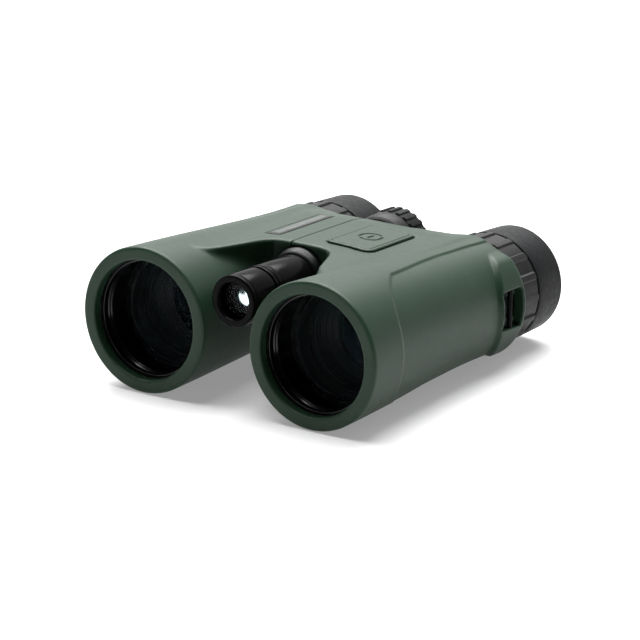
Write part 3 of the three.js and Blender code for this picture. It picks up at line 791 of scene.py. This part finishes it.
WINDOW = lens_profile(7.9, 6.4, 8.6, 0.4, 0)
LASER_FRONT = lens_profile(3.3, 9.4, 11.1, 0.5, 0)
centre_piece("emitter_face", EMITTER_FACE, "grey_plastic", ["emitter_bezel"], LOOK["black_anodised"], 0.2)
centre_piece("emitter_glass", WINDOW, "coated_glass", ["emitter_window"], WINDOW_GLASS, 0)
centre_piece("emitter_front_tube", EMITTER_FRONT, "black_anodised", ["emitter_tube_front"])
turned_piece(
    "emitter_ring", dense(rounded(EMITTER_RING, 0.12)), "right_half", "black_anodised",
    ["emitter_lock_ring"], HINGE_AXIS, corner=0, segments=240,
)
centre_piece("emitter_rear_tube", EMITTER_REAR, "black_anodised", ["emitter_tube_rear"])
centre_piece("bridge_collar", BRIDGE_COLLAR, "black_anodised", ["hinge_collar"], LOOK["black_plastic"])
centre_piece("laser_cell", LASER_CELL, "brass", ["laser_module"], LOOK["black_anodised"], 0.15)
centre_piece("laser_lens", LASER_FRONT, "coated_glass", [], LASER_LENS, 0)
centre_piece("hinge_end", HINGE_END, "black_anodised", ["hinge_bearing"])
centre_piece("focus_hub", FOCUS_HUB, "grey_plastic", ["focus_spindle"], body="focus_wheel")
turned_piece(
    "focus_tread", FOCUS_TREAD, "focus_wheel", "cup_rubber", ["focus_grip"], HINGE_AXIS, corner=0.3,
    segments=18 * TREAD_RIBS, relief=ribs(TREAD_RIBS, 0.62, 0.5, 103.3, 111.2),
)

# ---- Floor, light and camera ---------------------------------------------------------------------
# It lies on its rims and on the rear of its armour, which is slimmer, so its front is higher.
REAR_DROP = 4.3
REST_TILT = math.atan2(REAR_DROP, ARMOUR_END - 1)


def floor():
    """A plain pale floor that gives off a little light, which keeps the shadows on it soft."""
    size = 3.0
    mesh = bpy.data.meshes.new("floor")
    corners = [(-size, -size, 0), (size, -size, 0), (size, size, 0), (-size, size, 0)]
    mesh.from_pydata(corners, [], [(0, 1, 2, 3)])
    pale = Finish("pale_floor", Emission_Color=(1, 1, 1, 1), Emission_Strength=0.27)
    pale.colour(pale.noise(60, 2), (0.52, 0.52, 0.52), (0.54, 0.54, 0.54))
    pale.roughness(pale.noise(40, 2), 0.85, 0.95)
    mesh.materials.append(pale.material)
    obj = bpy.data.objects.new("floor", mesh)
    obj.location = (0, ORIGIN.y + 0.001, cad_box[0].z - 0.0002)
    obj.rotation_euler = (REST_TILT, 0, 0)
    bpy.context.scene.collection.objects.link(obj)


def softbox(name, place, aim, width, height, power):
    light = bpy.data.lights.new(name, "AREA")
    light.shape = "RECTANGLE"
    light.size, light.size_y = width, height
    light.energy = power
    obj = bpy.data.objects.new(name, light)
    obj.location = place
    obj.rotation_mode = "QUATERNION"
    obj.rotation_quaternion = (Vector(aim) - Vector(place)).to_track_quat("-Z", "Y")
    bpy.context.scene.collection.objects.link(obj)


def overhead(toward, strength, spread):
    """A wide soft light from high up, the same all over the floor."""
    light = bpy.data.lights.new("overhead", "SUN")
    light.energy = strength
    light.angle = math.radians(spread)
    obj = bpy.data.objects.new("overhead", light)
    obj.rotation_mode = "QUATERNION"
    obj.rotation_quaternion = (-Vector(toward)).to_track_quat("-Z", "Y")
    bpy.context.scene.collection.objects.link(obj)


def studio_world():
    """Soft light all round: bright above and behind the eyepieces, dark where the objectives look."""
    world = bpy.data.worlds.new("studio")
    world.use_nodes = True
    nodes, links = world.node_tree.nodes, world.node_tree.links
    place = nodes.new("ShaderNodeTexCoord")
    toward = nodes.new("ShaderNodeVectorMath")
    toward.operation = "DOT_PRODUCT"
    toward.inputs[1].default_value = (-0.35, 0.78, 0.52)
    ramp = nodes.new("ShaderNodeValToRGB")
    spread = nodes.new("ShaderNodeMapRange")
    spread.inputs["From Min"].default_value = -1
    ramp.color_ramp.elements[0].position = 0.55
    ramp.color_ramp.elements[0].color = (0.012, 0.012, 0.013, 1)
    ramp.color_ramp.elements[1].position = 0.95
    ramp.color_ramp.elements[1].color = (1.0, 1.0, 1.0, 1)
    links.new(place.outputs["Generated"], toward.inputs[0])
    links.new(toward.outputs["Value"], spread.inputs["Value"])
    links.new(spread.outputs["Result"], ramp.inputs["Fac"])
    links.new(ramp.outputs["Color"], nodes["Background"].inputs["Color"])
    nodes["Background"].inputs["Strength"].default_value = 1.2
    bpy.context.scene.world = world


def camera():
    """A long lens in front of the left half and somewhat above it, rolled a little."""
    azimuth, elevation, roll = map(math.radians, (34.96, 15.96, 0.91))
    distance = 1.4486
    target = Vector((0.04111, ORIGIN.y, ORIGIN.z + 0.01421))
    level = math.cos(elevation)
    back = Vector((math.sin(azimuth) * level, -math.cos(azimuth) * level, math.sin(elevation)))
    data = bpy.data.cameras.new("camera")
    data.lens = 231.41
    data.sensor_width = 36
    obj = bpy.data.objects.new("camera", data)
    obj.location = target + back * distance
    obj.rotation_mode = "QUATERNION"
    obj.rotation_quaternion = Quaternion(back, roll) @ (-back).to_track_quat("-Z", "Y")
    bpy.context.scene.collection.objects.link(obj)
    bpy.context.scene.camera = obj


floor()
studio_world()
overhead((-0.3, 0.3, 1.0), 9, 65)
softbox("front_window", (-0.18, -0.85, 0.13), (0, -0.06, 0.04), 0.18, 0.22, 0.6)
camera()
bpy.context.scene.view_settings.view_transform = "Standard"
